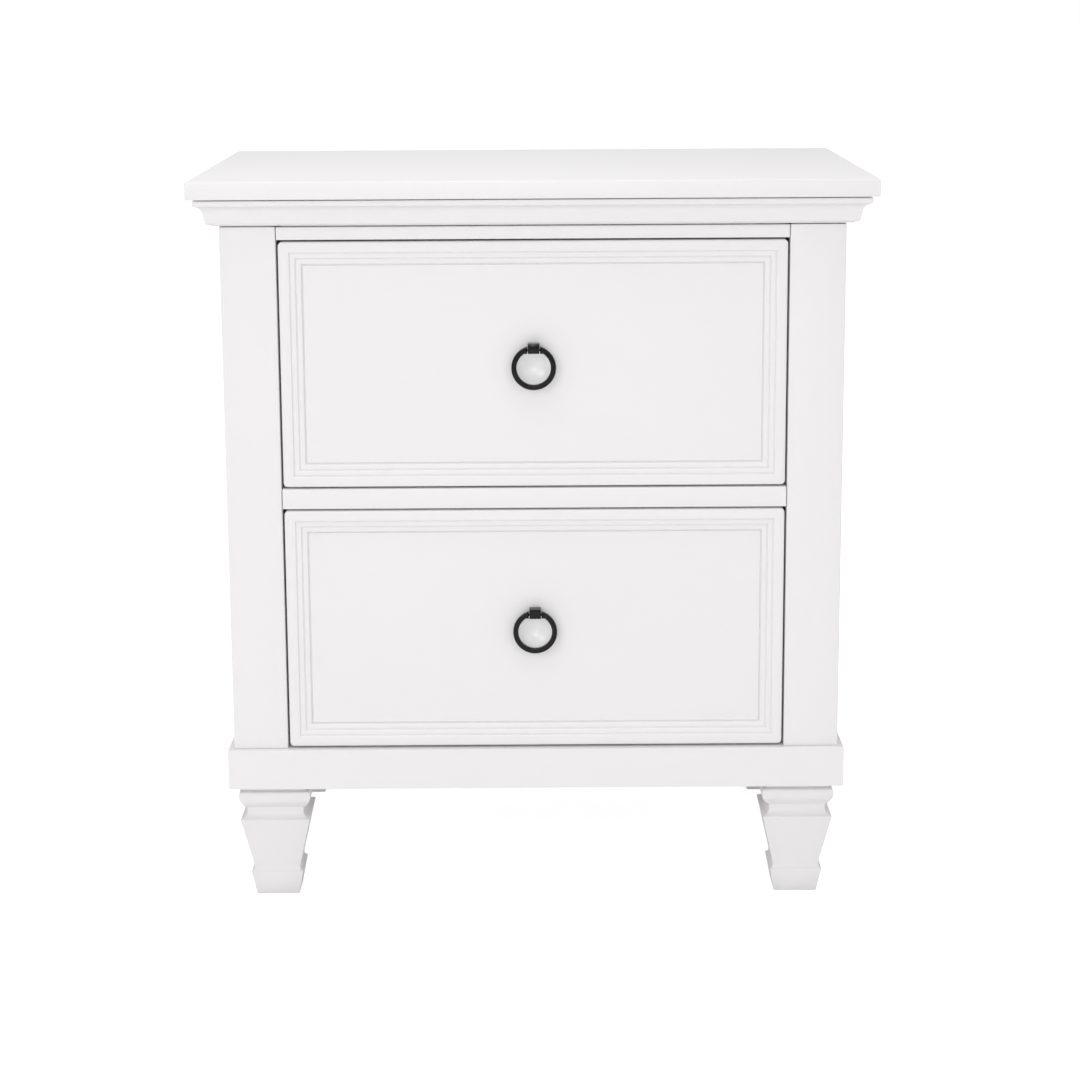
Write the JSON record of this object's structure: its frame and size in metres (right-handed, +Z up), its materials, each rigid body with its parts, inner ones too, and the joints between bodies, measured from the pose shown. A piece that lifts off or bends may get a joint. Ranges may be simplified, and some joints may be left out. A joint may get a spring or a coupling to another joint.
{
  "type": "nightstand",
  "caption": "White painted nightstand with two framed drawer fronts, black ring pulls, a crown moulding, a plinth and square tapered feet.",
  "frame": {"origin": "on the floor under the middle of the top panel", "axes": "+Z up, the drawer fronts face -Y, +X to the right of a person facing the drawers"},
  "size_m": [0.66, 0.432, 0.728],
  "materials": {
    "white_paint": "satin white paint on wood",
    "bare_birch": "bare planed birch",
    "plywood": "bare plywood",
    "zinc_steel": "bright zinc plate",
    "black_metal": "satin black",
    "white_enamel": "glossy white enamel"
  },
  "bodies": {
    "case": {"top_panel": "white_paint", "crown_moulding_front": "white_paint", "crown_moulding_left": "white_paint", "crown_moulding_right": "white_paint", "post_front_left": "white_paint", "post_front_right": "white_paint", "post_back_left": "white_paint", "post_back_right": "white_paint", "side_panel_left": "white_paint", "side_panel_right": "white_paint", "top_rail_front": "white_paint", "top_rail_back": "bare_birch", "middle_rail_front": "white_paint", "back_panel": "plywood", "plinth_front": "white_paint", "plinth_back": "white_paint", "plinth_left": "white_paint", "plinth_right": "white_paint", "case_bottom": "white_paint", "foot_front_left": "white_paint", "foot_front_right": "white_paint", "foot_back_left": "white_paint", "foot_back_right": "white_paint", "upper_slide_cleat_left": "bare_birch", "upper_slide_outer_left": "zinc_steel", "upper_slide_cleat_right": "bare_birch", "upper_slide_outer_right": "zinc_steel", "lower_slide_cleat_left": "bare_birch", "lower_slide_outer_left": "zinc_steel", "lower_slide_cleat_right": "bare_birch", "lower_slide_outer_right": "zinc_steel"},
    "upper_drawer": {"upper_drawer_front": "white_paint", "upper_drawer_side_left": "bare_birch", "upper_drawer_side_right": "bare_birch", "upper_drawer_back": "bare_birch", "upper_drawer_bottom": "plywood", "upper_slide_inner_left": "zinc_steel", "upper_slide_inner_right": "zinc_steel", "upper_pull_post": "black_metal", "upper_pull_pin": "black_metal", "upper_pull_cup": "white_enamel", "upper_pull_screw": "zinc_steel"},
    "upper_slide_middles": {"upper_slide_middle_left": "zinc_steel", "upper_slide_middle_right": "zinc_steel"},
    "upper_ring": {"upper_pull_ring": "black_metal"},
    "lower_drawer": {"lower_drawer_front": "white_paint", "lower_drawer_side_left": "bare_birch", "lower_drawer_side_right": "bare_birch", "lower_drawer_back": "bare_birch", "lower_drawer_bottom": "plywood", "lower_slide_inner_left": "zinc_steel", "lower_slide_inner_right": "zinc_steel", "lower_pull_post": "black_metal", "lower_pull_pin": "black_metal", "lower_pull_cup": "white_enamel", "lower_pull_screw": "zinc_steel"},
    "lower_slide_middles": {"lower_slide_middle_left": "zinc_steel", "lower_slide_middle_right": "zinc_steel"},
    "lower_ring": {"lower_pull_ring": "black_metal"}
  },
  "joints": [
    {"name": "upper_drawer_slide", "type": "slide", "parent": "case", "child": "upper_drawer", "axis": [0, -1, 0], "range_m": [0, 0.35]},
    {"name": "upper_middles_slide", "type": "slide", "parent": "case", "child": "upper_slide_middles", "axis": [0, -1, 0], "range_m": [0, 0.175]},
    {"name": "upper_ring_swing", "type": "hinge", "parent": "upper_drawer", "child": "upper_ring", "pos_m": [0, -0.1888, 0.5617], "axis": [-1, 0, 0], "range_deg": [-5, 95]},
    {"name": "lower_drawer_slide", "type": "slide", "parent": "case", "child": "lower_drawer", "axis": [0, -1, 0], "range_m": [0, 0.35]},
    {"name": "lower_middles_slide", "type": "slide", "parent": "case", "child": "lower_slide_middles", "axis": [0, -1, 0], "range_m": [0, 0.175]},
    {"name": "lower_ring_swing", "type": "hinge", "parent": "lower_drawer", "child": "lower_ring", "pos_m": [0, -0.1888, 0.2967], "axis": [-1, 0, 0], "range_deg": [-5, 95]}
  ],
  "couplings": [
    {"joint": "upper_middles_slide", "follows": "upper_drawer_slide", "ratio": 0.5},
    {"joint": "lower_middles_slide", "follows": "lower_drawer_slide", "ratio": 0.5}
  ]
}
